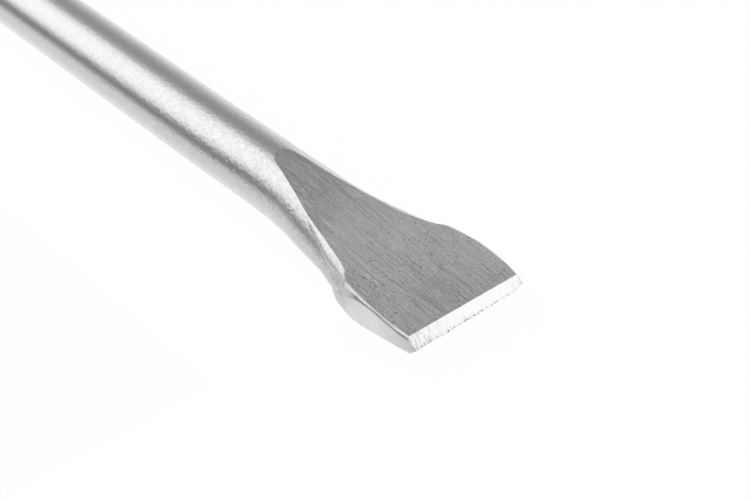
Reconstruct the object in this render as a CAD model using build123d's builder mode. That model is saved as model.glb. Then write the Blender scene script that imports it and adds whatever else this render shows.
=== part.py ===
"""Flat chisel for a rotary hammer: one bar of tool steel, forged, trimmed and ground.

Millimetres, +Z up. The tool lies along X with its cutting edge at +X, its blade level and its
round bar on the floor. The origin is on the floor below the middle of the tool.
"""

import os

from build123d import *

os.makedirs("parts", exist_ok=True)

# Whole tool
overall_length = 250.0
bar_d = 14.0

# Shank: the turned rear end that the hammer's chuck takes in
shank_d = 10.0
shank_length = 46.0
shank_cone_length = 4.0
shank_cone_blend = 3.0
end_chamfer = 1.0

# Two open drive slots, which run out of the rear end
slot_width = 2.7
slot_depth = 1.5
slot_length = 29.0
slot_cutter_r = 9.0

# Two closed grooves for the locking balls, a quarter turn from the slots
ball_r = 3.5
groove_depth = 1.4
groove_start = 9.5
groove_length = 19.5

# Forged neck, which widens from the bar to the blade's shoulders
neck_length = 41.0
neck_width = 22.8
neck_stations = 6

# Blade, trimmed to a straight-sided outline with rounded shoulders
blade_width = 26.0
tip_width = 25.4
shoulder_r = 17.0
shoulder_run = 3.0
trim_entry_angle = 50.0

# Crown of the forged blade, before it was trimmed and ground: its thickness, how far
# behind the shoulder it starts and rises, and how far it spread past the blade's sides
crown_height = 9.7
crown_root_height = 2.0
crown_root = 8.5
crown_run = 8.5
crown_stations = 6
side_flash = 2.5
tip_flash = 0.5

# Ground faces and cutting edge
face_length = 60.0
tip_thickness = 4.0
bevel_length = 1.8
edge_land = 0.3

# Places worked out from the sizes above
bar_r = bar_d / 2
shank_r = shank_d / 2
rear_x = -overall_length / 2
tip_x = overall_length / 2
bevel_x = tip_x - bevel_length
face_x = bevel_x - face_length
shoulder_x = face_x + neck_length
side_x = shoulder_x + shoulder_run
crown_x = shoulder_x - crown_root
face_slope = (bar_r - tip_thickness / 2) / face_length
shank_end_x = rear_x + shank_length

# The tool is shaped about the X axis with its blade level, and set on the floor at the end.
# Plane.XY is its plan, Plane.XZ its side view, and Plane.YZ is moved along it for sections.

# Ball groove cutter: a round-ended bar as wide as the ball, lying over the top of the shank
groove_floor = shank_r - groove_depth
groove_first_x = rear_x + groove_start + ball_r
groove_last_x = rear_x + groove_start + groove_length - ball_r
with BuildPart() as ball_groove:
    with BuildSketch(Plane.XZ):
        with BuildLine():
            cutter_height = groove_floor + ball_r
            cutter_axis = Line(
                (groove_first_x - ball_r, cutter_height), (groove_last_x + ball_r, cutter_height)
            )
            RadiusArc(cutter_axis @ 0, (groove_first_x, groove_floor), -ball_r)
            Line((groove_first_x, groove_floor), (groove_last_x, groove_floor))
            RadiusArc((groove_last_x, groove_floor), cutter_axis @ 1, -ball_r)
        make_face()
    revolve(axis=Axis((0, 0, cutter_height), (1, 0, 0)))

# Drive slot cutter: flat floor, run out at its front end by the round of a disc cutter
slot_floor = shank_r - slot_depth
slot_top = bar_d
with BuildPart() as drive_slot:
    with BuildSketch(Plane.XY):
        with BuildLine():
            Polyline(
                (rear_x + slot_length, slot_floor),
                (rear_x, slot_floor),
                (rear_x, slot_top),
                (rear_x + slot_length + slot_cutter_r, slot_top),
                (rear_x + slot_length + slot_cutter_r, slot_floor + slot_cutter_r),
            )
            RadiusArc(
                (rear_x + slot_length, slot_floor),
                (rear_x + slot_length + slot_cutter_r, slot_floor + slot_cutter_r),
                -slot_cutter_r,
            )
        make_face()
    extrude(amount=slot_width / 2, both=True)

# Blade forging: a crown drawn through ellipses, then trimmed straight down its outline.
# It rises out of the neck as a parabola that levels off, and draws in toward the tip.
with BuildPart() as blade:
    for station in range(crown_stations + 1):
        along = station / crown_stations
        x = crown_x + along * (tip_x - crown_x)
        short_of_top = max(0, 1 - (x - crown_x) / crown_run)
        rise = (crown_height - crown_root_height) * (1 - short_of_top**2)
        draw_in = (blade_width / 2 + side_flash - tip_width / 2 - tip_flash) * along**3
        with BuildSketch(Plane.YZ.offset(x)):
            Ellipse(
                blade_width / 2 + side_flash - draw_in, (crown_root_height + rise) / 2
            )
    loft()
    with BuildSketch(Plane.XY):
        with BuildLine():
            blade_side = Line((tip_x, tip_width / 2), (side_x, blade_width / 2))
            shoulder = JernArc(
                blade_side @ 1, blade_side % 1, shoulder_r, trim_entry_angle
            )
            Line(shoulder @ 1, ((shoulder @ 1).X, 0))
            Line((tip_x, 0), blade_side @ 0)
            mirror(about=Plane.XZ)
        make_face()
    extrude(amount=bar_d, both=True, mode=Mode.INTERSECT)

with BuildPart() as tool:
    # Shank and bar, turned in one
    with BuildSketch(Plane.XZ) as turned:
        with BuildLine():
            Polyline(
                (rear_x, 0),
                (rear_x, shank_r - end_chamfer),
                (rear_x + end_chamfer, shank_r),
                (shank_end_x, shank_r),
                (shank_end_x + shank_cone_length, bar_r),
                (face_x, bar_r),
                (face_x, 0),
                close=True,
            )
        make_face()
        cone_ends = turned.vertices().filter_by_position(
            Axis.X, shank_end_x, shank_end_x + shank_cone_length
        )
        fillet(cone_ends, radius=shank_cone_blend)
    revolve(axis=Axis.X)

    # Neck: the bar's height, with a half width that grows with the square of the distance
    for station in range(neck_stations + 1):
        distance = neck_length * station / neck_stations
        spread = (neck_width - bar_d) / 2 * (distance / neck_length) ** 2
        with BuildSketch(Plane.YZ.offset(face_x + distance)):
            Ellipse(bar_r + spread, bar_r)
    loft()
    add(blade.part)

    # Two ground faces from the bar down to the tip, then the two bevels of the cutting edge
    for side in (1, -1):
        ground_face = Plane(
            origin=(face_x, 0, side * bar_r), z_dir=(face_slope, 0, side)
        )
        split(bisect_by=ground_face, keep=Keep.BOTTOM)
    for side in (1, -1):
        bevel_fall = (tip_thickness - edge_land) / 2
        bevel = Plane(
            origin=(bevel_x, 0, side * tip_thickness / 2),
            z_dir=(bevel_fall, 0, side * bevel_length),
        )
        split(bisect_by=bevel, keep=Keep.BOTTOM)

    # Ball grooves above and below, drive slots at the two sides
    add(ball_groove.part, mode=Mode.SUBTRACT)
    mirrored_groove = mirror(ball_groove.part, about=Plane.XY, mode=Mode.PRIVATE)
    add(mirrored_groove, mode=Mode.SUBTRACT)
    add(drive_slot.part, mode=Mode.SUBTRACT)
    mirrored_slot = mirror(drive_slot.part, about=Plane.XZ, mode=Mode.PRIVATE)
    add(mirrored_slot, mode=Mode.SUBTRACT)

# Set on the floor, which the round bar touches
with BuildPart() as chisel:
    with Locations((0, 0, bar_r)):
        add(tool.part)

chisel.part.label = "chisel"
export_step(chisel.part, "parts/chisel.step")
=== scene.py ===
# %% [markdown]
# # A flat chisel for a rotary hammer
# The real tool is one bar of tool steel. One end is upset and forged in dies into a neck and a
# blade, trimmed along its sides, shot-blasted, and then ground on both faces and on the edge.
# This script puts the imported model in place as the fixed frame, works out a finer surface of the
# same tool with numpy, and gives each zone of it the finish that its last process left, with painted
# light and shade in some zones.

from math import cos, pi, radians, sin, tan

import bmesh
import bpy
import numpy as np
from mathutils import Matrix, Vector


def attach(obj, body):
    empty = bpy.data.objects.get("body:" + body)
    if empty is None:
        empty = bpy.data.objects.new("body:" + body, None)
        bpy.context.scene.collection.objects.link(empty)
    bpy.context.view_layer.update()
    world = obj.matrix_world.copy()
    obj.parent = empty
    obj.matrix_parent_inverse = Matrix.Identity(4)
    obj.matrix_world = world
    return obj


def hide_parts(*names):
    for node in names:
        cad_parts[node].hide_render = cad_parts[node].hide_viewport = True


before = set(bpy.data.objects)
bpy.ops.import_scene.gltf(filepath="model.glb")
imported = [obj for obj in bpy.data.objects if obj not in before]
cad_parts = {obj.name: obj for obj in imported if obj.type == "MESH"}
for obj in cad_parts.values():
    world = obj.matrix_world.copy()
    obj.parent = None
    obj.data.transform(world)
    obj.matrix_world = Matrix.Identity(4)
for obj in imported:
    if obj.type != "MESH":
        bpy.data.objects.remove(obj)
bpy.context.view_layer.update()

# %% [markdown]
# All of the tool is worked out about its own axis, in millimetres: x runs along it, y across the
# blade and z square to the flat of the blade. The last step lifts it by the bar's radius, so that
# the bar touches the floor, and turns millimetres into Blender's metres. Places on the forged
# head are given by their distance d from where the ground face would leave the bar's top.

# %% Sizes of the tool, in millimetres
bar_r = 7.0
rear_x = -125.0
tip_x = 125.0
shank_r = 5.0
shank_end_x = -79.0
shank_cone = 4.0
end_chamfer = 1.0
face_x = 63.2
# Distances d: the rounded start of the ground face, the start of the trimmed side, the notch
# where the face steps out to the blade's width, the edge bevel and the cutting edge
apex_d = 3.7
nose_d = 34.0
notch_d = 41.4
bevel_d = 60.0
tip_d = tip_x - face_x


def placed(points):
    """Points about the tool's axis, in millimetres, as metres above the floor: (x, y, z + r)."""
    return (np.asarray(points) + (0, 0, bar_r)) / 1000


print("length of the tool in mm", tip_x - rear_x)

# %% [markdown]
# The neck and blade are read as sections, one for each distance d. Two kinds of curve along d
# are needed: a soft step from one state to another, and a smooth curve through a few stations,
# each a pair of a place and a value, measured against the bar's width.

# %% Two kinds of curve


def smooth_step(value, start, end):
    """0 before start, 1 after end, and 3t^2 - 2t^3 between them, t being the share of the way."""
    t = np.clip((value - start) / (end - start), 0, 1)
    return t * t * (3 - 2 * t)


def through(d, *stations):
    """A smooth curve through (place, value) stations: between two of them the cubic Hermite
    curve, whose slope at a station is that of the line between its two neighbours."""
    at, values = np.array(stations, float).T
    slopes = np.gradient(values, at)
    d = np.clip(d, at[0], at[-1])
    i = np.clip(np.searchsorted(at, d) - 1, 0, len(at) - 2)
    gap = at[i + 1] - at[i]
    t = (d - at[i]) / gap
    rise = values[i] * (1 + 2 * t) + slopes[i] * gap * t
    fall = values[i + 1] * (3 - 2 * t) + slopes[i + 1] * gap * (t - 1)
    return rise * (1 - t) ** 2 + fall * t**2


print("a soft step, half way:", smooth_step(0.5, 0, 1))

# %% [markdown]
# Four curves belong to the neck and its ground face: the neck's half width, the height of the
# face, half its width, and how far its middle lies from the tool's middle plane, because it was
# ground by hand.

# %% Curves of the neck and the ground face
neck_spread, neck_spread_d = 4.0, 39.0
face_fall = 5.0
apex_opening = 1.4


def neck_half_width(d):
    """The bar's radius, plus a part that grows with the square of d."""
    return bar_r + neck_spread * (np.clip(d, 0, None) / neck_spread_d) ** 2


def face_plane(d):
    """A straight fall from the bar's top to 2 mm at the start of the edge bevel."""
    return bar_r - face_fall * d / bevel_d


def face_half_width(d):
    """Half the width of the ground face. It widens with the neck and steps out to the blade's
    width at the notch. At its start it opens like the square root of the distance, as a plane
    cuts a round bar: the curve is multiplied by the root of 1 - e^(-distance / opening)."""
    width = through(
        d,
        *((3.7, 2.3), (7, 2.6), (11, 3.2), (16, 4.1), (22, 5.5), (27.4, 6.6), (33, 7.8), (37, 8.95)),
        *((38.9, 9.65), (39.4, 9.87), (40.4, 10.65), (41.3, 11.2), (41.7, 11.35), (43.5, 11.72)),
        *((47, 12.13), (52, 12.35), (56, 12.28), (58.5, 12.06), (60.5, 11.86), (tip_d, 11.75)),
    )
    return width * np.sqrt(1 - np.exp(-np.clip(d - apex_d, 0, None) / apex_opening))


def face_middle(d):
    """How far the middle of the ground face lies from the tool's middle plane."""
    return through(
        d,
        *((3.7, 0.9), (5.4, 0.6), (8.6, 0.33), (11, 0.1), (16, -0.34), (22, -0.67), (28, -0.82)),
        *((33, -0.85), (37, -0.68), (39.4, -0.55), (41.3, -0.55), (45, -0.4), (52, -0.23), (57, -0.3)),
        (tip_d, -0.45),
    )


print("half width of the face at the notch", face_half_width(np.array([38.0, 41.0])).round(2))

# %% [markdown]
# Four more belong to the forging: how far its sections lie from the middle plane, half the width
# over its trimmed sides, and the heights of a side's upper and lower edges. They aren't alike,
# because the two dies didn't meet quite in the middle.

# %% Curves of the forging


def body_middle(d):
    """How far the middle of the forging lies from the tool's middle plane."""
    return through(
        d,
        *((-20, 0), (0, 0.2), (12, 0), (20, -0.5), (30, -0.6), (38, -0.5), (45, -0.2), (tip_d, -0.2)),
    )


def side_half_width(d):
    """The trimmed side: an S from the neck to the full width, then nearly straight to the tip."""
    return through(
        d,
        *((34, 9.9), (35.4, 10.6), (37.4, 11.5), (38.7, 11.95), (40.8, 12.4), (42.6, 12.68)),
        *((44.7, 12.78), (49, 12.78), (56, 12.76), (58.8, 12.66), (60.5, 12.5), (tip_d, 12.35)),
    )


def side_edge_height(d):
    """The height of the side's upper edge above the middle plane."""
    return through(
        d,
        *((0, 3.18), (20, 2.85), (34, 0.5), (38.4, 0.3), (40.5, 0.35), (41.8, 0.6), (43.3, 1.25)),
        *((44.7, 1.9), (46.5, 2.25), (49, 2.3), (51.6, 2.15), (54.6, 1.8), (57.4, 1.5), (tip_d, 1.4)),
    )


def side_edge_depth(d):
    """The same for the lower edge, which the dies left further from the middle plane."""
    return through(
        d,
        *((0, 3.18), (20, 2.85), (34, 1.2), (36, 2.0), (38.4, 2.4), (41.2, 2.75), (44.3, 3.15)),
        *((46.6, 3.1), (51.2, 2.6), (56.6, 1.78), (60.5, 1.15), (tip_d, 1.1)),
    )


print("width of the blade in mm", 2 * side_half_width(np.array([49.0, tip_d])).round(2))

# %% [markdown]
# The surface is one grid: rows are the sections, columns run once round each of them. Every
# column keeps to one feature, such as the edge of the ground face or the edge of the trimmed
# side, so those edges come out crisp. Where a feature isn't there yet, its columns lie on one
# point, and merging the doubles closes the grid. Rows are close together where the outline bends.

# %% Rows along the tool
shank_rows = (
    (rear_x, 0.0),
    (rear_x, shank_r - end_chamfer),
    (rear_x + end_chamfer, shank_r),
    (shank_end_x - 0.5, shank_r),
    (shank_end_x, shank_r + 0.1),
    (shank_end_x + 0.6, shank_r + 0.4),
    (shank_end_x + shank_cone - 0.6, bar_r - 0.4),
    (shank_end_x + shank_cone, bar_r - 0.1),
    (shank_end_x + shank_cone + 0.5, bar_r),
)
bar_rows = np.linspace(shank_end_x + 8, face_x - 4, 24)
head_rows = np.concatenate(
    [
        np.linspace(-3.6, apex_d - 0.1, 10),
        apex_d + np.array([0.0, 0.03, 0.08, 0.16, 0.28, 0.44, 0.64]),
        np.linspace(apex_d + 0.9, nose_d - 0.3, 96),
        np.linspace(nose_d, notch_d - 0.12, 44),
        np.linspace(notch_d, bevel_d, 68),
        np.linspace(bevel_d, tip_d, 10)[1:],
    ]
)


def column(values):
    """A value for each row, stood up as a column so that it meets a row of shares as a grid."""
    return np.asarray(values, float)[:, None]


row_x = column(np.concatenate([[x for x, _ in shank_rows], bar_rows, face_x + head_rows]))
row_d = row_x - face_x
row_r = np.full_like(row_x, bar_r)
row_r[: len(shank_rows)] = column([r for _, r in shank_rows])
print(len(row_x), "rows, of them on the head", len(head_rows))

# %% [markdown]
# One quarter of a section runs from the ground face's edge F along the neck's ellipse to the
# valley V, then over the forged crown to the side's edge P, round that edge, and down the side to
# the middle. First the neck, from F to V. Towards the notch it is a little fuller than an ellipse.

# %% The neck's part of a quarter
neck_steps, crown_steps, edge_steps, side_steps, face_steps = 8, 6, 4, 5, 88
valley_d, valley_angle = (0, 20, nose_d), np.radians((54, 50, 14))
neck_bulge = 1.7


def neck_angles(face_edge_y):
    """The angles of F and V on the neck's ellipse. F follows from the face's width, arccos(y/w),
    and further on from its height, arcsin(z/r). V sinks along the neck, and from the nose to the
    notch it climbs back to F by the share 1 - sqrt(1 - t^1.5)."""
    flat = smooth_step(row_d, 18, 30)
    from_width = np.arccos(np.clip(face_edge_y / neck_half_width(row_d), -1, 1))
    from_height = np.arcsin(np.clip(face_plane(row_d) / bar_r, 0, 1))
    start = from_width * (1 - flat) + from_height * flat
    sinking = np.interp(row_d, valley_d, valley_angle)
    closing = 1 - np.sqrt(1 - np.clip((row_d - nose_d) / (notch_d - nose_d), 0, 1) ** 1.5)
    climbing = valley_angle[-1] + closing * (start - valley_angle[-1])
    return start, np.minimum(np.where(row_d < nose_d, sinking, climbing), start)


def neck_part(face_edge_y, start, valley):
    """From F to V: y = w cos(a) and z = r sin(a). Then y is moved so that it starts at F, by less
    towards V on the open neck and by the same all the way at the notch, and bulged by t (1 - t)."""
    share = np.linspace(0, 1, neck_steps + 1)
    angle = start * (1 - share) + valley * share
    y = neck_half_width(row_d) * np.cos(angle)
    held = smooth_step(row_d, 33, notch_d)
    moved = (1 - share) * (1 - held) + held
    near_notch = smooth_step(row_d, 22, 34) * (1 - smooth_step(row_d, 38.5, notch_d))
    bulge = neck_bulge * share * (1 - share) * near_notch
    return np.stack([y + moved * (face_edge_y - y[:, :1]) + bulge, bar_r * np.sin(angle)])


print("the valley sinks to", np.degrees(valley_angle[-1]).round(1), "degrees")

# %% [markdown]
# A hollow quadratic curve joins V and P where the crown still rises out of the neck. On the blade
# a narrow flank falls away from the face's edge at 45 degrees to Q, and from there the trimming
# die left a steep band down to P. The edge P is worn round by the shot.

# %% The blade's part of a quarter
flank_steps = 3
flank_width, flank_extra, flank_most = 0.33, 0.17, 0.8
crown_bend_out, crown_bend_up = 0.38, 0.32
edge_round_up, edge_round_down = 0.06, 0.1


def shares(steps):
    """The shares of the way after each of so many even steps."""
    return np.arange(1, steps + 1) / steps


def bent(start, bend, end, share):
    """A quadratic curve: start (1-t)^2 + 2 bend t (1-t) + end t^2."""
    return start * (1 - share) ** 2 + 2 * bend * share * (1 - share) + end * share**2


def hollow_crown(v, p, kept):
    """From V nearly to P on a quadratic curve, whose bend lies under the straight line."""
    bend = np.stack([v[0] + crown_bend_out * (p[0] - v[0]), p[1] + crown_bend_up * (v[1] - p[1])])
    return bent(v, bend, p, shares(crown_steps) * kept)


def flank_and_band(v, p, kept):
    """From V straight down to Q, as far out as down, and straight on nearly to P. The flank is
    wider near the notch, and where P is close to V it takes no more than most of the way."""
    flank = flank_width + flank_extra * (1 - smooth_step(row_d, 43, 46.5))
    out = np.minimum(flank, flank_most * (p[0] - v[0]))
    down = np.minimum(flank, flank_most * (v[1] - p[1]))
    q = v + np.stack([out, -down])
    steep = shares(crown_steps - flank_steps) * kept
    return np.concatenate([v + (q - v) * shares(flank_steps), q + (p - q) * steep], axis=2)


def blade_part(v, p):
    """From V over the crown, round the edge P by another quadratic curve, and straight down."""
    kept = 1 - edge_round_up / np.hypot(*(p - v)).clip(0.4)
    folded = smooth_step(row_d, notch_d - 1, notch_d + 0.6)
    crown = hollow_crown(v, p, kept) * (1 - folded) + flank_and_band(v, p, kept) * folded
    under_p = p - np.array([0, edge_round_down])[:, None, None]
    edge = bent(crown[:, :, -1:], p, under_p, shares(edge_steps))
    wall_z = edge[1, :, -1:] * (1 - shares(side_steps))
    return np.concatenate([crown, edge, np.stack([p[0] + 0 * wall_z, wall_z])], axis=2)


print("steps from V to the middle", crown_steps + edge_steps + side_steps)

# %% [markdown]
# Where there is no blade yet, the same columns follow the round of the neck and bar. A quarter
# blends the two at the nose, where the trimmed side starts, and shrinks with the shank. It is
# worked out four times, because the tool's right and left and its upper and lower halves differ.

# %% Whole quarters
right_draw_in = 0.3


def round_part(valley, side_z):
    """The columns from V to the middle on the neck's ellipse: the angle goes evenly from the
    valley's to that of the side edge's height, and from there to zero."""
    low = np.arcsin(np.clip(side_z / bar_r, 0, 1))
    to_edge, to_middle = shares(crown_steps), shares(edge_steps + side_steps)
    angle = np.concatenate([valley * (1 - to_edge) + low * to_edge, low * (1 - to_middle)], axis=1)
    return np.stack([neck_half_width(row_d) * np.cos(angle), bar_r * np.sin(angle)])


def quarter(side, edge_height):
    """The y and z of every section, from the face's edge to the middle of the side. Side is 1 for
    the right and -1 for the left, and y counts outwards from the section's middle. The right
    side draws in a little towards the tip."""
    face_edge_y = face_half_width(row_d) + side * (face_middle(row_d) - body_middle(row_d))
    drawn_in = right_draw_in * (1 + side) * smooth_step(row_d, 54, tip_d)
    side_y, side_z = side_half_width(row_d) - drawn_in, edge_height(row_d)
    start, valley = neck_angles(face_edge_y)
    neck = neck_part(face_edge_y, start, valley)
    blade = blade_part(neck[:, :, -1:], np.stack([side_y, side_z]))
    on_blade = smooth_step(row_d, nose_d - 0.4, nose_d + 0.5)
    beyond = round_part(valley, side_z) * (1 - on_blade) + blade * on_blade
    return np.concatenate([neck, beyond], axis=2) * (row_r / bar_r)


def turned_over(part, y_sign, z_sign):
    """A quarter mirrored to another place of the section."""
    return part * np.array([y_sign, z_sign])[:, None, None]


upper_right = quarter(1, side_edge_height)
upper_left = turned_over(quarter(-1, side_edge_height), -1, 1)
lower_right = turned_over(quarter(1, side_edge_depth), 1, -1)
lower_left = turned_over(quarter(-1, side_edge_depth), -1, -1)
print("columns in a quarter", upper_right.shape[2])

# %% [markdown]
# The quarters and the two ground faces between them make the ring, which starts at the upper
# face's right edge and goes over the left side. Every part leaves out the points that its
# neighbour has already laid.

# %% Whole sections


def face_between(first, last):
    """The ground face from the edge of one quarter to that of the other, in even steps."""
    share = np.linspace(0, 1, face_steps + 1)[1:-1]
    return first[:, :, :1] * (1 - share) + last[:, :, :1] * share


ring = (
    upper_right[:, :, :1],
    face_between(upper_right, upper_left),
    upper_left,
    lower_left[:, :, -2::-1],
    face_between(lower_left, lower_right),
    lower_right,
    upper_right[:, :, -2:0:-1],
)
grid_y, grid_z = np.concatenate(ring, axis=2)
grid_y = grid_y + body_middle(row_d)
rows, columns = grid_y.shape
print("grid of", rows, "rows and", columns, "columns")

# %% [markdown]
# The cutting edge comes last on the real tool too: two bevels ground off the ends of the faces,
# by hand and so not quite square. The edge climbs and draws back a little towards its right end,
# where its corner is worn off, and the grinding left it torn by about a tenth of a millimetre.

# %% The ragged line of the cutting edge
left_end, right_end = -12.6, 12.0
edge_low, edge_climb, edge_draw_back = -0.3, 0.9, 0.25
corner_climb, corner_draw_back = 0.4, 0.55
tear_up, tear_back = 0.03, 0.08
rag_places = np.linspace(-13, 13, 180)
rag = np.random.default_rng(4).normal(size=len(rag_places))
ragged = np.interp(grid_y, rag_places, rag)
across = np.clip((grid_y - left_end) / (right_end - left_end), 0, 1)
corner = smooth_step(grid_y, 9.5, 12.8)
edge_z = edge_climb * across**1.5 + edge_low + corner_climb * corner + tear_up * ragged
edge_d = tip_d - edge_draw_back * across**2 - corner_draw_back * corner - tear_back * np.abs(ragged)
print("height of the edge", edge_z.min().round(2), edge_z.max().round(2))

# %% [markdown]
# The bevels start on a slant, nearer the tip on the left, and further back on the underside. A
# row past their start lies between it and the edge by its share of the way, and its points are
# held between two planes that close in on the edge, down to a land of a tenth of a millimetre.
# The rows before it are slid along too, so that one of them follows the bevel's own line.

# %% The bevels of the cutting edge
edge_land = 0.12
bevel_left, bevel_slant = 60.3, 0.55
under_left, under_slant = 0.4, 1.2
slide_d = 53
below = smooth_step(-grid_z, -1, 1)
bevel_start = bevel_left - bevel_slant * across - (under_left + under_slant * across) * below
even_d = row_d + 0 * grid_y
slid = even_d + (bevel_start - bevel_d) * smooth_step(even_d, slide_d, bevel_d)
past = np.clip((even_d - bevel_d) / (tip_d - bevel_d), 0, 1)
grid_d = np.where(past > 0, bevel_start + past * (edge_d - bevel_start), slid)
start_z = face_plane(bevel_start)
bevel_top = start_z + past * (edge_z + edge_land / 2 - start_z)
bevel_low = -start_z + past * (edge_z - edge_land / 2 + start_z)
grid_z = np.where(past > 0, np.clip(grid_z, bevel_low, bevel_top), grid_z)
print("the bevels start at", bevel_start.min().round(2), "to", bevel_start.max().round(2))

# %% [markdown]
# Three small dents in the upper face, where something hard hit it: elongated hollows, pressed
# into the grid as bell curves that are longer along the tool than across it.

# %% Dents in the upper face
# Each has its place along and across, its length, its width and its depth
dents = (
    (43.3, -8.5, 0.5, 0.28, 0.12),
    (45.4, -8.5, 0.6, 0.34, 0.1),
    (47.2, -11.4, 0.34, 0.26, 0.08),
)
for dent_d, dent_y, long, wide, deep in dents:
    bell = np.exp(-(((grid_d - dent_d) / long) ** 2) - ((grid_y - dent_y) / wide) ** 2)
    grid_z = grid_z - deep * bell * (grid_z > 0)
points = np.stack([grid_d + face_x, grid_y, grid_z], axis=-1).reshape(-1, 3)
print(len(dents), "dents in a surface of", len(points), "points")

# %% [markdown]
# The surface will carry six steels: five for the process that came last, and one that paints shade
# into the thin crease below the flank. A face of the grid gets its steel from the feature that its
# column and row belong to: the ground face, the crease, the trimmed side, the bevel or the turned
# shank.

# %% A steel for every face
steel_names = (
    "shot_blasted_forged_steel",
    "ground_steel",
    "bright_ground_steel",
    "die_trimmed_steel",
    "turned_ground_steel",
    "painted_crease_shade_steel",
)
BLASTED, GROUND, BEVEL, TRIMMED, TURNED, CREASE_SHADE = range(len(steel_names))
steels = [bpy.data.materials.new(name) for name in steel_names]

side_columns = 2 * (neck_steps + crown_steps + edge_steps + side_steps)
half_ring = face_steps + side_columns
from_edge = np.arange(columns) % half_ring - face_steps
on_face = from_edge < 0
to_crease = neck_steps + flank_steps
in_crease = (from_edge >= to_crease) & (from_edge < side_columns - to_crease)
to_side = neck_steps + crown_steps + edge_steps
on_side = (from_edge >= to_side) & (from_edge < side_columns - to_side)

quad_d = row_d[:-1]
finish = np.full((rows - 1, columns), BLASTED)
finish[(quad_d >= apex_d - 0.2) & on_face] = GROUND
# The crease past the notch gets the steel of painted shade
finish[(quad_d >= notch_d) & in_crease & (grid_z[:-1] > 0)] = CREASE_SHADE
finish[(quad_d >= nose_d) & on_side] = TRIMMED
finish[(quad_d >= bevel_d - 1e-6) & on_face] = BEVEL
finish[row_x[:-1, 0] < shank_end_x + shank_cone] = TURNED
print("faces of each steel", np.bincount(finish.ravel()))

# %% [markdown]
# The grid becomes a mesh with plain faces between neighbouring rows and columns. Across the tip a
# strip joins the upper bevel to the lower one, which is the narrow land of the edge.

# %% Faces of the grid and of the tip


def grid_faces(rows, columns):
    """Faces between the rows and round the columns of a grid, as four point numbers each."""
    number = np.arange(rows * columns).reshape(rows, columns)
    low, high = number[:-1], number[1:]
    return np.stack([low, np.roll(low, -1, 1), np.roll(high, -1, 1), high], axis=-1).reshape(-1, 4)


last = (rows - 1) * columns + np.arange(columns)
strip = np.arange(face_steps)
opposite = (half_ring + face_steps - strip) % columns
cap = np.stack([last[strip + 1], last[strip], last[opposite], last[(opposite - 1) % columns]], axis=-1)
all_faces = np.concatenate([grid_faces(rows, columns), cap])
all_finishes = np.concatenate([finish.ravel(), np.full(len(cap), BEVEL)])
print(len(all_faces), "faces, of them", len(cap), "on the land of the edge")

# %% [markdown]
# A mesh made from a grid has points that lie on each other, at its poles and wherever a feature
# hasn't begun. A bmesh merges those within two thousandths of a millimetre and turns all faces
# outwards.

# %% The mesh of the tool
merge_distance, shortest_edge = 2e-6, 1e-6


def put_in_scene(name, data):
    """A new object of that name, in the scene."""
    made = bpy.data.objects.new(name, data)
    bpy.context.scene.collection.objects.link(made)
    return made


def make_mesh(name, vertices, faces, finishes, open_ends=False):
    """A mesh from points in the tool's own millimetres, with all six steels. A cutter's open ends
    are filled with turned steel."""
    mesh = bpy.data.meshes.new(name)
    for made in steels:
        mesh.materials.append(made)
    mesh.from_pydata(placed(vertices).tolist(), [], faces.tolist())
    mesh.polygons.foreach_set("material_index", finishes.astype(np.int32))
    work = bmesh.new()
    work.from_mesh(mesh)
    bmesh.ops.remove_doubles(work, verts=work.verts, dist=merge_distance)
    bmesh.ops.dissolve_degenerate(work, edges=work.edges, dist=shortest_edge)
    if open_ends:
        for face in bmesh.ops.holes_fill(work, edges=work.edges, sides=0)["faces"]:
            face.material_index = TURNED
    bmesh.ops.recalc_face_normals(work, faces=work.faces)
    work.to_mesh(mesh)
    work.free()
    return mesh


chisel_mesh = make_mesh("forged_chisel", points, all_faces, all_finishes)
chisel = put_in_scene("forged_chisel", chisel_mesh)
print(len(chisel_mesh.vertices), "points,", len(chisel_mesh.polygons), "faces")

# %% [markdown]
# The shank has two closed grooves for the locking balls and, a quarter turn from them, two open
# slots for the drive splines. They could be pressed into the grid, but their rims would be
# ragged, so cutters of the real milling tool's shape are taken away with a Boolean. First the
# two shapes: a round-ended bar as wide as the ball, and what a disc cutter sweeps along a slot.

# %% Shapes of the ball groove and of the drive slot
groove_r, groove_height, groove_first, groove_last = 3.5, 7.1, -112.0, -99.5
slot_half, slot_floor, slot_flat_end, slot_cutter_r = 1.35, 3.5, -96.0, 9.0
past_rear, slot_top = rear_x - 2, 14.0


def capsule(sign):
    """A round-ended bar along x, above the axis when sign is 1, as circles round its own axis:
    their radius is r cos(bow), and they lie r sin(bow) before its first or past its last end."""
    bow = np.linspace(-pi / 2, pi / 2, 33)
    along = np.where(bow < 0, groove_first, groove_last) + groove_r * np.sin(bow)
    radius = column(groove_r * np.cos(bow))
    turn = np.linspace(0, 2 * pi, 65)[:-1]
    x = column(along) + 0 * turn
    return np.stack([x, radius * np.cos(turn), sign * groove_height + radius * np.sin(turn)], axis=-1)


def disc_cut(sign):
    """A slot's outline, a flat floor and the quarter round of a disc cutter, as one row for each
    side of the slot."""
    bow = np.linspace(0, pi / 2, 25)
    x = np.concatenate([[past_rear], slot_flat_end + slot_cutter_r * np.sin(bow), [past_rear]])
    depth = np.concatenate([[slot_floor], slot_floor + slot_cutter_r * (1 - np.cos(bow)), [slot_top]])
    outline = np.stack([x, sign * depth, 0 * x], axis=-1)
    return np.stack([outline - (0, 0, slot_half), outline + (0, 0, slot_half)])


print("points of a groove and a slot", capsule(1).shape[:2], disc_cut(1).shape[:2])

# %% [markdown]
# A Boolean modifier takes each cutter away, once above or to the right and once below or to the
# left, and its result becomes the chisel's own mesh. Only then are the faces shaded smooth, with
# every edge left sharp at which they turn by more than 24 degrees.

# %% Cut the grooves and slots
sharp_angle = radians(24)


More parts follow.
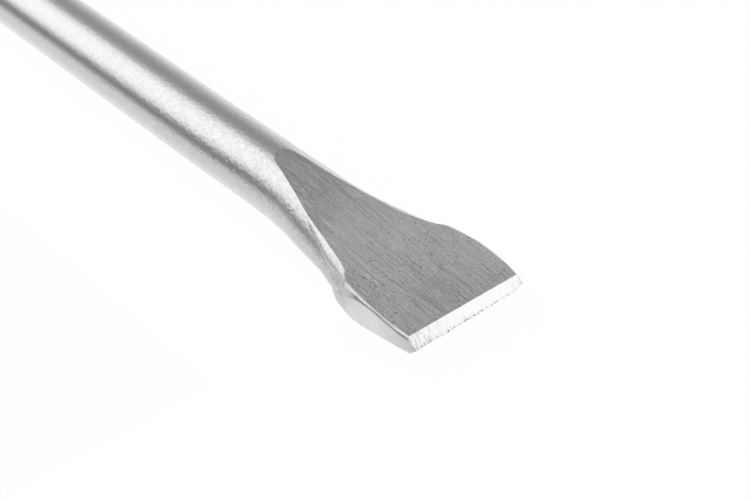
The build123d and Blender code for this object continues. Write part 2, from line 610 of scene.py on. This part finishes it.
def take_away(name, shape, open_ends):
    """Cuts one form, given as a grid of points, out of the chisel and removes the cutter."""
    faces = grid_faces(*shape.shape[:2])
    finishes = np.full(len(faces), TURNED)
    cutter = put_in_scene(name, make_mesh(name, shape.reshape(-1, 3), faces, finishes, open_ends))
    cut = chisel.modifiers.new(name, "BOOLEAN")
    cut.operation, cut.solver, cut.object = "DIFFERENCE", "EXACT", cutter
    graph = bpy.context.evaluated_depsgraph_get()
    cut_mesh = bpy.data.meshes.new_from_object(chisel.evaluated_get(graph))
    chisel.modifiers.clear()
    chisel.data = cut_mesh
    bpy.data.objects.remove(cutter)


for side in (1, -1):
    take_away("ball_groove_cutter", capsule(side), open_ends=False)
    take_away("drive_slot_cutter", disc_cut(side), open_ends=True)
chisel.data.name = "forged_chisel"
chisel.data.shade_smooth()
chisel.data.set_sharp_from_angle(angle=sharp_angle)
finishes = np.zeros(len(chisel.data.polygons), np.int32)
chisel.data.polygons.foreach_get("material_index", finishes)
print(len(chisel.data.vertices), "points, faces of each steel:", np.bincount(finishes))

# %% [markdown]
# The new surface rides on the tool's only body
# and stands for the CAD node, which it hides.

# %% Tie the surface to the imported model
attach(chisel, "root")
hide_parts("chisel")

# %% [markdown]
# The finishes are all bare hardened tool steel, and most differ by the process that came last:
# shot blasting leaves tiny overlapping dimples, a coarse wheel leaves long scratches, and the
# shank is turned and fine-ground. The crease's steel is painted shade, and the faces and sides carry
# some painted light and shade too.
# All patterns read Object coordinates, moved to the tool's axis, so that a place is one on the tool,
# in metres, and a scale is one over a size in metres.

# %% Helpers for colours and nodes


def linear(code):
    """sRGB hex to linear: each part over 12.92 when dark, else ((part + 0.055) / 1.055)^2.4."""
    parts = [int(code[i : i + 2], 16) / 255 for i in (1, 3, 5)]
    return [p / 12.92 if p <= 0.04045 else ((p + 0.055) / 1.055) ** 2.4 for p in parts] + [1.0]


def add(tree, kind, settings=None, links=None):
    """Adds a node. Settings are attributes or, by socket name or number, values. Links give what
    feeds each input: a socket, or a node whose first socket in use it is."""
    node = tree.nodes.new(kind)
    for key, value in (settings or {}).items():
        if isinstance(key, str) and hasattr(node, key):
            setattr(node, key, value)
        else:
            node.inputs[key].default_value = value
    for key, source in (links or {}).items():
        if isinstance(source, bpy.types.Node):
            source = next(socket for socket in source.outputs if socket.enabled)
        tree.links.new(source, node.inputs[key])
    return node


def emptied(owner):
    """The node tree of a material or world, with nothing in it."""
    owner.use_nodes = True
    owner.node_tree.nodes.clear()
    return owner.node_tree


print("white is", linear("#ffffff"))

# %% [markdown]
# Each steel starts with the tool's own coordinates and ends with a metal shader, whose IOR stays
# the default. Where a pattern changes along or across the tool, x and y are taken apart too.

# %% Start and end of a steel


def start_steel(number):
    """A steel's empty tree, with a node that gives the coordinates about the tool's axis."""
    tree = emptied(steels[number])
    place = add(tree, "ShaderNodeTexCoord")
    own = add(
        tree,
        "ShaderNodeMapping",
        {"vector_type": "TEXTURE", "Location": (0, 0, bar_r / 1000)},
        {"Vector": place.outputs["Object"]},
    )
    return tree, own


def end_steel(tree, settings, links):
    """A steel's metal shader, fed by the last nodes of its patterns: (number of its nodes)."""
    shader = add(tree, "ShaderNodeBsdfPrincipled", {"Metallic": 1.0, **settings}, links)
    add(tree, "ShaderNodeOutputMaterial", links={"Surface": shader})
    return len(tree.nodes)


print("steels", [made.name for made in chisel.data.materials])

# %% [markdown]
# The forged skin was shot-blasted after hardening. On the bar the shot left a fine satin; nearer
# the head the skin was scaled and the dimples are coarser. The shot's dimples are 0.1 to 0.2 mm
# wide, and are drawn 0.2 to 0.7 mm wide so that they show. Low waves of about 4 mm are left from
# forging. Beside the notch, past x = 0.088, the skin is smoother and duller.

# %% Shot-blasted forged steel: dimples and waves
tree, own = start_steel(BLASTED)
apart = add(tree, "ShaderNodeSeparateXYZ", links={"Vector": own})
near_head = add(
    tree,
    "ShaderNodeMapRange",
    {"From Min": -0.03, "From Max": 0.085, "To Min": 0.3, "To Max": 1.0},
    {"Value": apart.outputs["X"]},
)
dimples = add(
    tree,
    "ShaderNodeTexNoise",
    {"Scale": 1500.0, "Detail": 2.0, "Roughness": 0.55},
    {"Vector": own},
)
hammered = add(tree, "ShaderNodeTexNoise", {"Scale": 260.0, "Detail": 2.0}, {"Vector": own})
waves = add(tree, "ShaderNodeMath", {"operation": "MULTIPLY", 1: 0.8}, {0: hammered})
skin = add(tree, "ShaderNodeMath", {"operation": "ADD"}, {0: dimples, 1: waves})
grain = add(tree, "ShaderNodeMath", {"operation": "MULTIPLY"}, {0: skin, 1: near_head})
smoother = add(
    tree,
    "ShaderNodeMapRange",
    {"From Min": 0.09, "From Max": 0.1, "To Min": 1.0, "To Max": 0.4},
    {"Value": apart.outputs["X"]},
)
bump = add(tree, "ShaderNodeBump", {"Distance": 0.0001}, {"Height": grain, "Strength": smoother})
duller = add(
    tree,
    "ShaderNodeMapRange",
    {"From Min": 0.088, "From Max": 0.101, "To Min": 0.3, "To Max": 0.46},
    {"Value": apart.outputs["X"]},
)
print("nodes for the blasted relief", len(tree.nodes))

# %% [markdown]
# Its colour is a light grey, mottled with the dimples, with tiny dark pits of scale between them.
# Both come in towards the head.

# %% Shot-blasted forged steel: mottling and pits
mottled = add(
    tree,
    "ShaderNodeMapRange",
    {"From Min": 0.35, "From Max": 0.65, "To Min": 0.0, "To Max": 1.0},
    {"Value": dimples},
)
mottled_near_head = add(tree, "ShaderNodeMath", {"operation": "MULTIPLY"}, {0: mottled, 1: near_head})
mottled_colour = add(
    tree,
    "ShaderNodeMix",
    {"data_type": "RGBA", 6: linear("#e6e6e5"), 7: linear("#d2d2d1")},
    {0: mottled_near_head},
)
pit_noise = add(tree, "ShaderNodeTexNoise", {"Scale": 2000.0, "Detail": 2.0}, {"Vector": own})
pits = add(
    tree,
    "ShaderNodeMapRange",
    {"From Min": 0.66, "From Max": 0.74, "To Min": 0.0, "To Max": 0.7},
    {"Value": pit_noise},
)
pits_near_head = add(tree, "ShaderNodeMath", {"operation": "MULTIPLY"}, {0: pits, 1: near_head})
skin_colour = add(
    tree,
    "ShaderNodeMix",
    {"data_type": "RGBA", 7: linear("#6f6e6c")},
    {0: pits_near_head, 6: mottled_colour},
)
nodes = end_steel(tree, {}, {"Base Color": skin_colour, "Roughness": duller, "Normal": bump})
print("nodes of the shot-blasted steel", nodes)

# %% [markdown]
# Both blade faces were ground lengthwise on a coarse wheel, so they are flat and satin, with
# scratches along the tool and the marks of single grains between them. Real scratches are a few
# hundredths of a millimetre wide. They are drawn 0.1 mm wide and some 8 mm long, and the grains'
# marks 0.2 by 0.4 mm, so that they show.

# %% Ground steel of the blade faces: scratches and grit
tree, own = start_steel(GROUND)
apart = add(tree, "ShaderNodeSeparateXYZ", links={"Vector": own})
stretched = add(tree, "ShaderNodeMapping", {"Scale": (130.0, 9000.0, 130.0)}, {"Vector": own})
scratches = add(
    tree,
    "ShaderNodeTexNoise",
    {"Scale": 1.0, "Detail": 5.0, "Roughness": 0.8},
    {"Vector": stretched},
)
bump = add(tree, "ShaderNodeBump", {"Strength": 0.4, "Distance": 0.0001}, {"Height": scratches})
streaks = add(tree, "ShaderNodeMath", {"operation": "MULTIPLY_ADD", 1: 5.4, 2: -2.1}, {0: scratches})
grit = add(tree, "ShaderNodeMapping", {"Scale": (2600.0, 5200.0, 2600.0)}, {"Vector": own})
grit_noise = add(
    tree,
    "ShaderNodeTexNoise",
    {"Scale": 1.0, "Detail": 3.0, "Roughness": 0.7},
    {"Vector": grit},
)
gritty = add(tree, "ShaderNodeMath", {"operation": "MULTIPLY_ADD", 1: 2.4, 2: -1.2}, {0: grit_noise})
print("nodes for the scratches and grit", len(tree.nodes))

# %% [markdown]
# The face isn't of one tone. Painted shade darkens it near the start of the face and a little again
# before the bevel, painted light makes it lighter to the right, and it is cloudy over
# about a centimetre. The scratches and grit are laid over that.

# %% Ground steel of the blade faces: tone, with painted light and shade
# Painted shade near the face's start and before the bevel, and painted light towards the right, go
# into the face's colour
painted_shade_at_start = add(
    tree,
    "ShaderNodeMapRange",
    {"From Min": 0.066, "From Max": 0.1, "To Min": -0.3, "To Max": 0.0},
    {"Value": apart.outputs["X"]},
)
painted_shade_before_bevel = add(
    tree,
    "ShaderNodeMapRange",
    {"From Min": 0.108, "From Max": 0.1232, "To Min": 0.0, "To Max": -0.17},
    {"Value": apart.outputs["X"]},
)
painted_light_to_right = add(
    tree,
    "ShaderNodeMapRange",
    {"From Min": -0.012, "From Max": 0.012, "To Min": -0.04, "To Max": 0.13},
    {"Value": apart.outputs["Y"]},
)
painted_shade_at_ends = add(tree, "ShaderNodeMath", {"operation": "ADD"}, {0: painted_shade_at_start, 1: painted_shade_before_bevel})
painted_light_and_shade = add(tree, "ShaderNodeMath", {"operation": "ADD"}, {0: painted_shade_at_ends, 1: painted_light_to_right})
clouds = add(tree, "ShaderNodeTexNoise", {"Scale": 90.0, "Detail": 2.0}, {"Vector": own})
clouds_and_painted_light = add(tree, "ShaderNodeMath", {"operation": "MULTIPLY_ADD", 1: 0.5}, {0: clouds, 2: painted_light_and_shade})
shade = add(tree, "ShaderNodeMath", {"operation": "MULTIPLY_ADD", 1: 0.75}, {0: streaks, 2: clouds_and_painted_light})
grit_and_painted_light = add(tree, "ShaderNodeMath", {"operation": "ADD"}, {0: shade, 1: gritty})
ground_with_painted_light = add(
    tree,
    "ShaderNodeMix",
    {"data_type": "RGBA", 6: linear("#9b9b9a"), 7: linear("#f4f4f3")},
    {0: grit_and_painted_light},
)
print("nodes with the tone", len(tree.nodes))

# %% [markdown]
# Small pits of the forging stayed open from the middle of the face on, past x = 0.09. They are
# drawn a few tenths of a millimetre wide, like the dimples of the skin.

# %% Ground steel of the blade faces: pits
in_middle = add(
    tree,
    "ShaderNodeMapRange",
    {"From Min": 0.09, "From Max": 0.102, "To Min": 0.0, "To Max": 1.0},
    {"Value": apart.outputs["X"]},
)
pit_noise = add(tree, "ShaderNodeTexNoise", {"Scale": 1500.0, "Detail": 2.0}, {"Vector": own})
pits = add(
    tree,
    "ShaderNodeMapRange",
    {"From Min": 0.66, "From Max": 0.72, "To Min": 0.0, "To Max": 0.85},
    {"Value": pit_noise},
)
pits_in_middle = add(tree, "ShaderNodeMath", {"operation": "MULTIPLY"}, {0: pits, 1: in_middle})
pits_and_painted_light = add(
    tree,
    "ShaderNodeMix",
    {"data_type": "RGBA", 7: linear("#565654")},
    {0: pits_in_middle, 6: ground_with_painted_light},
)
nodes = end_steel(tree, {"Roughness": 0.36}, {"Base Color": pits_and_painted_light, "Normal": bump})
print("nodes of the ground steel", nodes)

# %% [markdown]
# The edge bevels were ground last, across the edge, and are the brightest surface on the tool.
# The wheel chattered near both ends, which left ridges about 0.4 mm apart across the bevel.

# %% Bright ground steel of the edge bevels: ridges
tree, own = start_steel(BEVEL)
apart = add(tree, "ShaderNodeSeparateXYZ", links={"Vector": own})
ridges_run = add(tree, "ShaderNodeMapping", {"Scale": (500.0, 2600.0, 500.0)}, {"Vector": own})
ridges = add(tree, "ShaderNodeTexNoise", {"Scale": 1.0, "Detail": 2.0}, {"Vector": ridges_run})
bump = add(tree, "ShaderNodeBump", {"Strength": 0.5, "Distance": 0.0001}, {"Height": ridges})
from_middle = add(tree, "ShaderNodeMath", {"operation": "ADD", 1: -0.002}, {0: apart.outputs["Y"]})
outwards = add(tree, "ShaderNodeMath", {"operation": "ABSOLUTE"}, {0: from_middle})
near_ends = add(
    tree,
    "ShaderNodeMapRange",
    {"From Min": 0.006, "From Max": 0.0115, "To Min": 0.12, "To Max": 1.0},
    {"Value": outwards},
)
lines = add(
    tree,
    "ShaderNodeMapRange",
    {"From Min": 0.5, "From Max": 0.62, "To Min": 0.0, "To Max": 0.3},
    {"Value": ridges},
)
chatter = add(tree, "ShaderNodeMath", {"operation": "MULTIPLY"}, {0: lines, 1: near_ends})
print("nodes for the ridges", len(tree.nodes))

# %% [markdown]
# A torn burr with dark specks runs along the last 0.4 mm before the cutting edge. Where specks
# and ridges meet, the darker of the two is seen.

# %% Bright ground steel of the edge bevels: burr
speck_noise = add(tree, "ShaderNodeTexNoise", {"Scale": 2600.0, "Detail": 1.0}, {"Vector": own})
specks = add(
    tree,
    "ShaderNodeMapRange",
    {"From Min": 0.5, "From Max": 0.6, "To Min": 0.0, "To Max": 0.9},
    {"Value": speck_noise},
)
at_edge = add(
    tree,
    "ShaderNodeMapRange",
    {"From Min": 0.12458, "From Max": 0.12492, "To Min": 0.0, "To Max": 1.0},
    {"Value": apart.outputs["X"]},
)
burr = add(tree, "ShaderNodeMath", {"operation": "MULTIPLY"}, {0: specks, 1: at_edge})
marks = add(tree, "ShaderNodeMath", {"operation": "MAXIMUM"}, {0: chatter, 1: burr})
bevel_colour = add(
    tree,
    "ShaderNodeMix",
    {"data_type": "RGBA", 6: linear("#e8e8e7"), 7: linear("#6a6a68")},
    {0: marks},
)
nodes = end_steel(tree, {"Roughness": 0.3}, {"Base Color": bevel_colour, "Normal": bump})
print("nodes of the bright ground steel", nodes)

# %% [markdown]
# The sides were sheared in a trimming die while hot and only lightly blasted after that, so they
# are smoother than the neck, with faint upright shear marks about 0.7 mm apart. Over the last
# centimetre before the tip, painted shade makes them darker.

# %% Die-trimmed steel of the sides, with painted shade near the tip
tree, own = start_steel(TRIMMED)
apart = add(tree, "ShaderNodeSeparateXYZ", links={"Vector": own})
sheared = add(tree, "ShaderNodeMapping", {"Scale": (1500.0, 300.0, 300.0)}, {"Vector": own})
marks = add(tree, "ShaderNodeTexNoise", {"Scale": 1.0, "Detail": 2.0}, {"Vector": sheared})
side_colour = add(
    tree,
    "ShaderNodeMix",
    {"data_type": "RGBA", 6: linear("#d8d8d7"), 7: linear("#eaeae9")},
    {0: marks},
)
# Painted shade: the side's colour darkens over the last centimetre before the tip
painted_shade_near_tip = add(
    tree,
    "ShaderNodeMapRange",
    {"From Min": 0.114, "From Max": 0.1245, "To Min": 0.0, "To Max": 0.7},
    {"Value": apart.outputs["X"]},
)
side_with_painted_shade = add(
    tree,
    "ShaderNodeMix",
    {"data_type": "RGBA", 7: linear("#bebebd")},
    {0: painted_shade_near_tip, 6: side_colour},
)
bump = add(tree, "ShaderNodeBump", {"Strength": 0.25, "Distance": 0.0001}, {"Height": marks})
nodes = end_steel(tree, {"Roughness": 0.42}, {"Base Color": side_with_painted_shade, "Normal": bump})
print("nodes of the die-trimmed steel", nodes)

# %% [markdown]
# The shank is turned and then fine-ground to size, so it is smoother than the bar and carries
# fine rings. They are about 0.05 mm apart and are drawn at 0.2 mm.

# %% Turned and ground steel of the shank
tree, own = start_steel(TURNED)
rings_run = add(tree, "ShaderNodeMapping", {"Scale": (5000.0, 60.0, 60.0)}, {"Vector": own})
rings = add(tree, "ShaderNodeTexNoise", {"Scale": 1.0, "Detail": 2.0}, {"Vector": rings_run})
ring_colour = add(
    tree,
    "ShaderNodeMix",
    {"data_type": "RGBA", 6: linear("#bdbdbc"), 7: linear("#d6d6d5")},
    {0: rings},
)
bump = add(tree, "ShaderNodeBump", {"Strength": 0.3, "Distance": 0.0001}, {"Height": rings})
nodes = end_steel(tree, {"Roughness": 0.24}, {"Base Color": ring_colour, "Normal": bump})
print("nodes of the turned steel", nodes)

# %% [markdown]
# Painted shade: a thin dark line is painted into the colour of the crease between the forged skin
# and the sheared side, which is also left dull.
# It is patchy over about a millimetre and comes in past the notch.

# %% Painted shade in the crease
tree, own = start_steel(CREASE_SHADE)
apart = add(tree, "ShaderNodeSeparateXYZ", links={"Vector": own})
crease_patches = add(tree, "ShaderNodeTexNoise", {"Scale": 900.0, "Detail": 2.0}, {"Vector": own})
past_notch = add(
    tree,
    "ShaderNodeMapRange",
    {"From Min": 0.1048, "From Max": 0.1105, "To Min": -0.75, "To Max": 0.3},
    {"Value": apart.outputs["X"]},
)
# Painted shade: the crease's colour is darkened in patches past the notch
painted_crease_darkness = add(
    tree,
    "ShaderNodeMath",
    {"operation": "ADD", "use_clamp": True},
    {0: crease_patches, 1: past_notch},
)
crease_shade_colour = add(
    tree,
    "ShaderNodeMix",
    {"data_type": "RGBA", 6: linear("#e0e0df"), 7: linear("#9c9c9b")},
    {0: painted_crease_darkness},
)
nodes = end_steel(tree, {"Roughness": 0.45}, {"Base Color": crease_shade_colour})
print("nodes of the scaled steel", nodes)

# %% [markdown]
# The studio starts with a white table that the tool lies on. It shines white for the camera and
# for reflections, and a small share of it is matt, which keeps a trace of the tool's shadow. It
# lies 0.1 mm lower than the tool, so that the two surfaces don't touch.

# %% White table
table_size, table_white, table_gap = 8.0, 0.97, 0.0001


def sheet(name, length, width, paint_name):
    """A flat rectangle round the origin, in metres, with an empty material: (object, its tree)."""
    mesh = bpy.data.meshes.new(name)
    x, y = length / 2, width / 2
    mesh.from_pydata([(-x, -y, 0), (x, -y, 0), (x, y, 0), (-x, y, 0)], [], [(0, 1, 2, 3)])
    paint = bpy.data.materials.new(paint_name)
    mesh.materials.append(paint)
    return put_in_scene(name, mesh), emptied(paint)


table, tree = sheet("white_table", table_size, table_size, "white_laminate")
table.location = (0, 0, -table_gap)
path = add(tree, "ShaderNodeLightPath")
matt = add(tree, "ShaderNodeBsdfDiffuse", {"Color": linear("#fafafa")})
white = add(tree, "ShaderNodeEmission", {"Color": linear("#ffffff"), "Strength": 1.0})
either = add(
    tree,
    "ShaderNodeMath",
    {"operation": "MAXIMUM"},
    {0: path.outputs["Is Camera Ray"], 1: path.outputs["Is Glossy Ray"]},
)
seen = add(tree, "ShaderNodeMath", {"operation": "MULTIPLY", 1: table_white}, {0: either})
both = add(tree, "ShaderNodeMixShader", links={0: seen, 1: matt, 2: white})
add(tree, "ShaderNodeOutputMaterial", links={"Surface": both})
print("table of", table_size, "m")

# %% [markdown]
# The world is plain white at strength 1, for the camera, for reflections and as soft light.

# %% World
world = bpy.data.worlds.new("white_studio")
bpy.context.scene.world = world
tree = emptied(world)
sky = add(tree, "ShaderNodeBackground", {"Color": linear("#ffffff"), "Strength": 1.0})
add(tree, "ShaderNodeOutputWorld", links={"Surface": sky})
print("world", world.name)

# %% [markdown]
# Bare metal shows nothing but its surroundings, so the grey bands along the bar are made by cards.
# Long ones hang parallel to the tool: a softbox high on the side towards the camera, a dark gap
# below it, a dark ceiling on the other side of straight up, and a grey one low behind, which ends
# 0.6 m behind the tool's middle. Two strips lie on the table beside the tool, and a white card
# before the blade lights its face. A card is seen in reflections, but not by the camera, and
# casts no shadow.

# %% Cards
card_distance, card_length = 0.7, 2.0


def card(name, centre, turn, length, width, colour, strength):
    """A flat card that shines with one colour, with its centre and its Euler angles."""
    made, tree = sheet(name, length, width, name)
    made.location = centre
    made.rotation_euler = turn
    made.visible_camera = False
    made.visible_shadow = False
    glow = add(tree, "ShaderNodeEmission", {"Color": linear(colour), "Strength": strength})
    add(tree, "ShaderNodeOutputMaterial", links={"Surface": glow})


def around(name, low, high, end, colour, strength):
    """A long card parallel to the tool, between two angles from straight up towards +y, that ends
    above the place x = end. Its width is 2 r tan(half the angle between)."""
    angle, half = radians(low + high) / 2, radians(high - low) / 2
    centre = (end - card_length / 2, card_distance * sin(angle), card_distance * cos(angle))
    width = 2 * card_distance * tan(half)
    card(name, centre, (pi - angle, 0, 0), card_length, width, colour, strength)


around("dark_ceiling", 12, 62, 0.1, "#979797", 1.0)
around("grey_side", 62, 91, -0.6, "#c4c4c4", 1.0)
around("softbox", -58, -2, 0.1, "#ffffff", 1.27)
around("dark_gap", -90, -72, 0.1, "#666666", 1.0)
card("dark_strip", (-0.9, -0.4, 0.001), (0, 0, 0), card_length, 0.723, "#747474", 1.0)
card("grey_strip", (-0.9, -0.0235, 0.001), (0, 0, 0), card_length, 0.029, "#e9e9e9", 1.0)
front, blade_middle = Vector((0.72, 0.5, 0.76)), Vector((0.12, 0, 0))
facing_blade = (blade_middle - front).to_track_quat("Z", "Y").to_euler()
card("front_card", front, facing_blade, 1.1, 1.1, "#ffffff", 1.25)

# %% [markdown]
# A long lens near the blade looks down along the tool, so that the bar runs out of the picture
# behind it. The camera's place and direction were fitted to the tool's outline in the picture,
# with a lens of 2,300 pixels for a picture 750 pixels wide.

# %% Camera
lens_pixels, picture_pixels = 2300, 750
camera = put_in_scene("camera", bpy.data.cameras.new("camera"))
right = Vector((0.5909, 0.799, -0.1119))
up = Vector((-0.4187, 0.4222, 0.804))
axes = Matrix([right, up, right.cross(up)]).transposed()
camera.matrix_world = axes.normalized().to_4x4()
camera.location = placed((380.8, -176.4, 240.2))
camera.data.sensor_width = 36.0
camera.data.lens = lens_pixels / picture_pixels * camera.data.sensor_width
camera.data.clip_start = 0.02
bpy.context.scene.camera = camera
bpy.context.scene.view_settings.view_transform = "Standard"
print("camera at", [round(v, 3) for v in camera.location])
